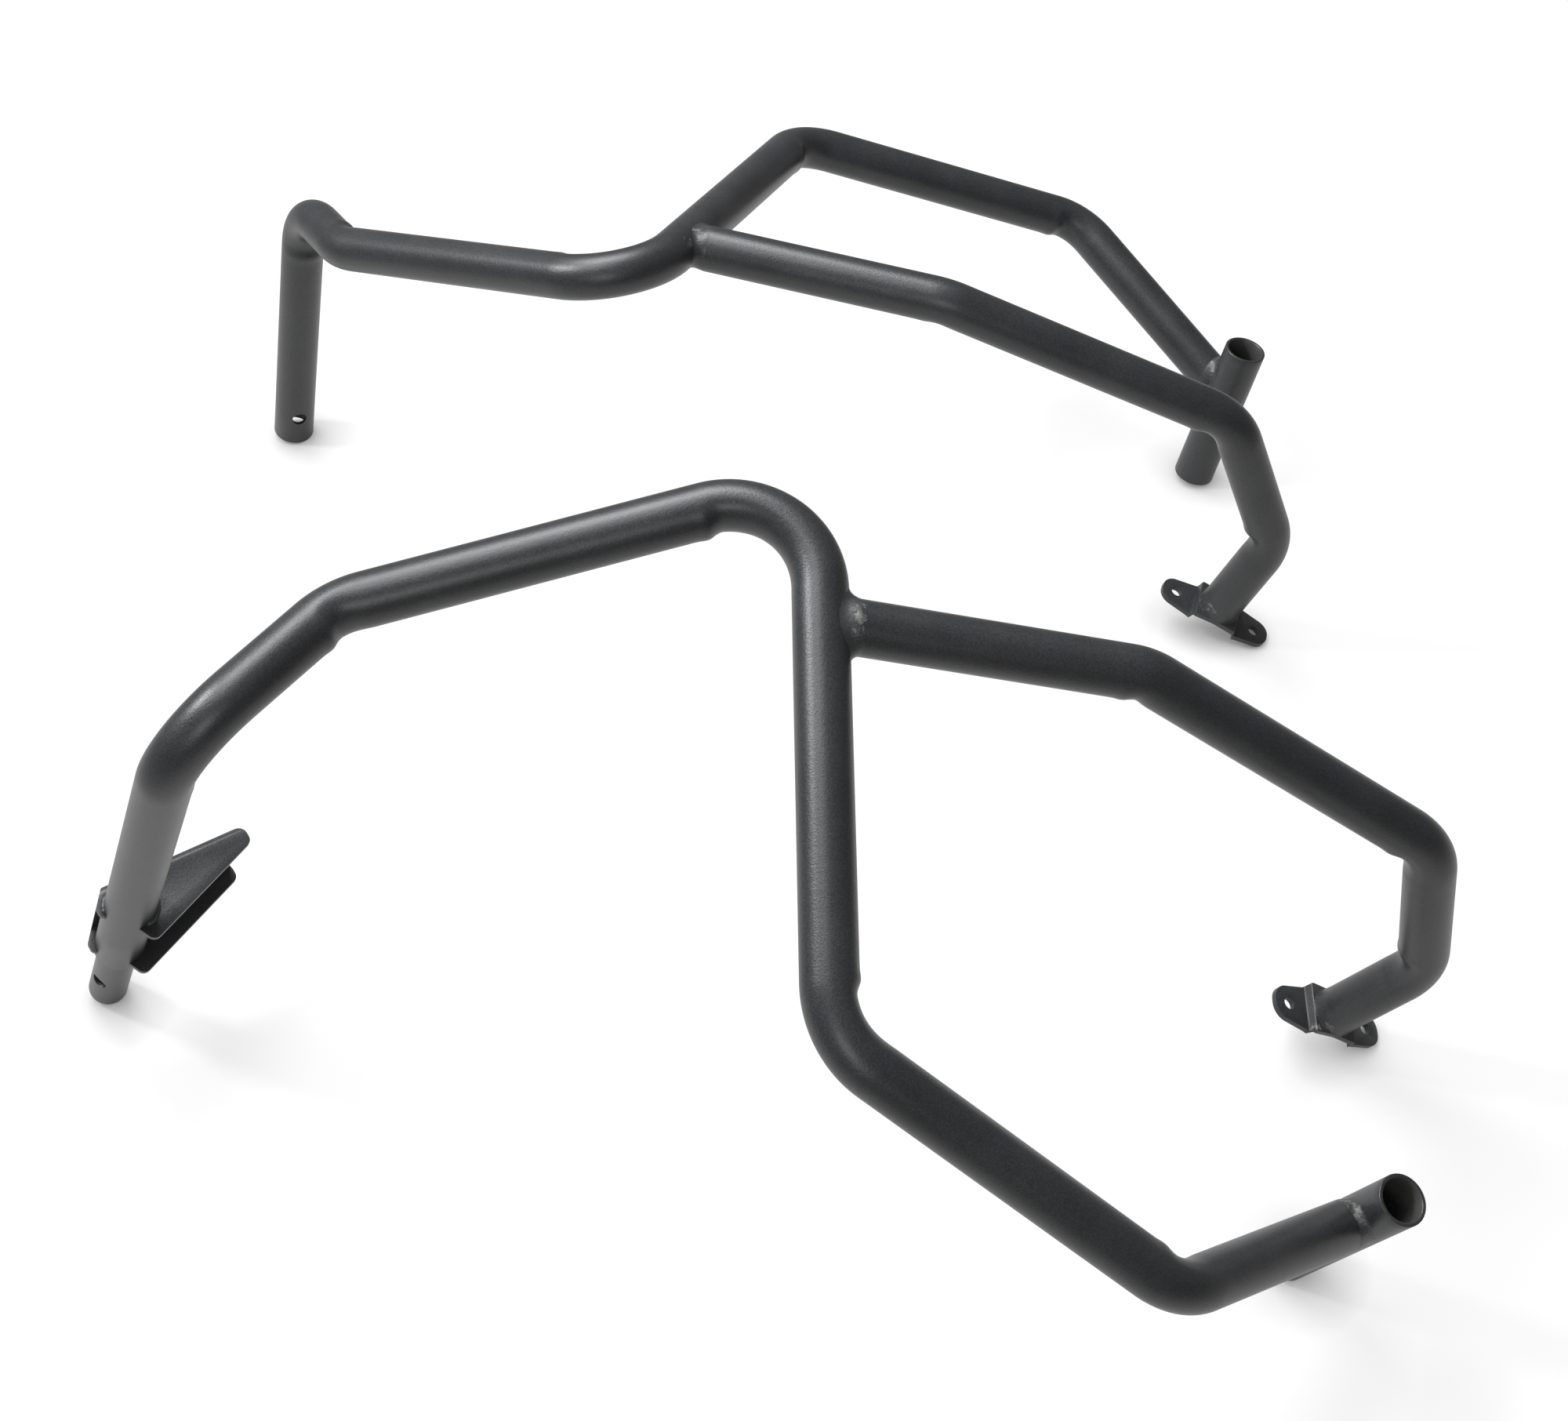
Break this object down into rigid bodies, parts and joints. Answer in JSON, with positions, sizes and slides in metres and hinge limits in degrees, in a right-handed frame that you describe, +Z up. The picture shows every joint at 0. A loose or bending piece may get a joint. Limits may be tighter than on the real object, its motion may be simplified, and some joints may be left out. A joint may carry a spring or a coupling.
{
  "type": "motorcycle crash bars",
  "caption": "Pair of black tubular motorcycle crash bars: bent main tube with a welded branch, cross sleeve, bolt plate and stepped or plain mounting end.",
  "frame": {"origin": "middle of the pair's outline on the floor that both bars stand on", "axes": "+Z up, shortest side; +Y from the near bar to the far bar, longest side; the bars' free ends point to +X"},
  "size_m": [0.7296, 0.7575, 0.3433],
  "materials": {
    "tube": "satin black powder coat",
    "sheet": "satin black powder coat on folded sheet steel",
    "weld": "powder coat over weld beads, thin on the ridges"
  },
  "bodies": {
    "root": {"near_tube": "tube", "near_branch": "tube", "near_sleeve": "tube", "near_plate": "sheet", "near_tee_weld": "weld", "near_sleeve_weld": "weld", "near_plate_weld_outer": "weld", "near_plate_weld_inner": "weld", "near_spigot": "tube", "near_spigot_weld": "weld", "near_channel": "sheet", "near_channel_weld_top": "weld", "near_channel_weld_foot": "weld", "near_channel_weld_top_left": "weld", "near_channel_weld_foot_left": "weld", "far_tube": "tube", "far_branch": "tube", "far_sleeve": "tube", "far_plate": "sheet", "far_tee_weld": "weld", "far_sleeve_weld": "weld", "far_plate_weld_outer": "weld", "far_plate_weld_inner": "weld"}
  },
  "joints": []
}
